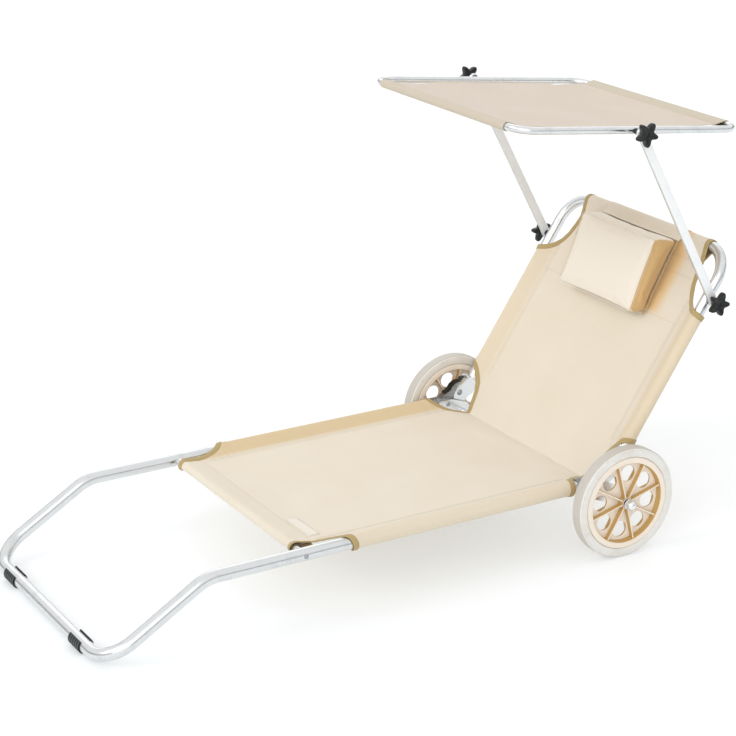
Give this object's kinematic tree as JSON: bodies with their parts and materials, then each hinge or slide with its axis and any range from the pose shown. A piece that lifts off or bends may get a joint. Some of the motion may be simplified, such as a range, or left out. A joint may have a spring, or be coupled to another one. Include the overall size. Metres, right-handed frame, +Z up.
{
  "type": "sun lounger",
  "caption": "Folding sun lounger with a bent tube frame, fabric seat, ratchet backrest with head pillow, wheels at the hinge end and a tilting canopy on arms.",
  "frame": {"origin": "centre of the bounding box in X and Y, on the ground", "axes": "+X from the foot end to the head end, +Y to one side, +Z up"},
  "size_m": [1.545, 0.7656, 0.9636],
  "materials": {
    "aluminium_tube": "satin bright",
    "zinc_steel": "bright zinc plated",
    "black_plastic": "fine matt texture",
    "seat_cloth": "plain woven, light sand",
    "pillow_cloth": "plain woven, light sand",
    "canopy_cloth": "plain woven, greyish sand",
    "wheel_plastic": "satin moulded, warm beige",
    "pale_tyre": "matt, nearly white"
  },
  "bodies": {
    "frame": {"main_frame_tube": "aluminium_tube", "seat_front_tube": "aluminium_tube", "axle": "zinc_steel", "seat_fabric": "seat_cloth", "foot_clip_right": "black_plastic", "foot_clip_left": "black_plastic", "seat_tube_screw_right": "zinc_steel", "seat_tube_screw_left": "zinc_steel", "hinge_lower_shell_right": "zinc_steel", "hinge_lower_shell_left": "zinc_steel", "hinge_cover_right": "black_plastic", "hinge_cover_left": "black_plastic", "rail_rivet_right": "zinc_steel", "rail_rivet_left": "zinc_steel", "axle_bracket_right": "zinc_steel", "axle_bracket_left": "zinc_steel", "axle_washer_right": "zinc_steel", "axle_washer_left": "zinc_steel", "axle_cap_right": "zinc_steel", "axle_cap_left": "zinc_steel"},
    "backrest": {"back_tube": "aluminium_tube", "back_fabric": "seat_cloth", "head_pillow": "pillow_cloth", "pillow_flap": "seat_cloth", "hinge_upper_shell_right": "zinc_steel", "hinge_upper_shell_left": "zinc_steel", "ratchet_wheel_right": "zinc_steel", "ratchet_wheel_left": "zinc_steel", "pivot_pin_right": "zinc_steel", "pivot_pin_left": "zinc_steel", "back_tube_rivet_right": "zinc_steel", "back_tube_rivet_left": "zinc_steel", "lower_arm_spacer_right": "black_plastic", "lower_arm_spacer_left": "black_plastic"},
    "canopy_arms": {"canopy_arm_right": "aluminium_tube", "canopy_arm_left": "aluminium_tube"},
    "canopy": {"canopy_tube_front": "aluminium_tube", "canopy_tube_rear": "aluminium_tube", "canopy_fabric": "canopy_cloth", "upper_arm_spacer_right": "black_plastic", "upper_arm_spacer_left": "black_plastic"},
    "lower_clamp_right": {"lower_knob_right": "black_plastic", "lower_stud_right": "zinc_steel"},
    "lower_clamp_left": {"lower_knob_left": "black_plastic", "lower_stud_left": "zinc_steel"},
    "upper_clamp_right": {"upper_knob_right": "black_plastic", "upper_stud_right": "zinc_steel"},
    "upper_clamp_left": {"upper_knob_left": "black_plastic", "upper_stud_left": "zinc_steel"},
    "wheel_right": {"wheel_rim_right": "wheel_plastic", "tyre_right": "pale_tyre"},
    "wheel_left": {"wheel_rim_left": "wheel_plastic", "tyre_left": "pale_tyre"}
  },
  "joints": [
    {"name": "backrest_tilt", "type": "hinge", "parent": "frame", "child": "backrest", "pos_m": [0.42862, 0.0175, 0.169], "axis": [0, -1, 0], "range_deg": [-55.8, 65]},
    {"name": "canopy_arms_swing", "type": "hinge", "parent": "backrest", "child": "canopy_arms", "pos_m": [0.6919, 0.0175, 0.51904], "axis": [0, 1, 0], "range_deg": [-60, 95]},
    {"name": "canopy_tilt", "type": "hinge", "parent": "canopy_arms", "child": "canopy", "pos_m": [0.47384, 0.0175, 0.92066], "axis": [0, -1, 0], "range_deg": [-60, 125]},
    {"name": "lower_knob_turn_right", "type": "hinge", "parent": "canopy_arms", "child": "lower_clamp_right", "pos_m": [0.6919, 0.3425, 0.51904], "axis": [0, 1, 0], "continuous": true},
    {"name": "lower_knob_turn_left", "type": "hinge", "parent": "canopy_arms", "child": "lower_clamp_left", "pos_m": [0.6919, -0.3075, 0.51904], "axis": [0, -1, 0], "continuous": true},
    {"name": "upper_knob_turn_right", "type": "hinge", "parent": "canopy_arms", "child": "upper_clamp_right", "pos_m": [0.47384, 0.3425, 0.92066], "axis": [0, 1, 0], "continuous": true},
    {"name": "upper_knob_turn_left", "type": "hinge", "parent": "canopy_arms", "child": "upper_clamp_left", "pos_m": [0.47384, -0.3075, 0.92066], "axis": [0, -1, 0], "continuous": true},
    {"name": "wheel_spin_right", "type": "hinge", "parent": "frame", "child": "wheel_right", "pos_m": [0.43124, 0.3435, 0.125], "axis": [0, 1, 0], "continuous": true},
    {"name": "wheel_spin_left", "type": "hinge", "parent": "frame", "child": "wheel_left", "pos_m": [0.43124, -0.3435, 0.125], "axis": [0, 1, 0], "continuous": true}
  ]
}
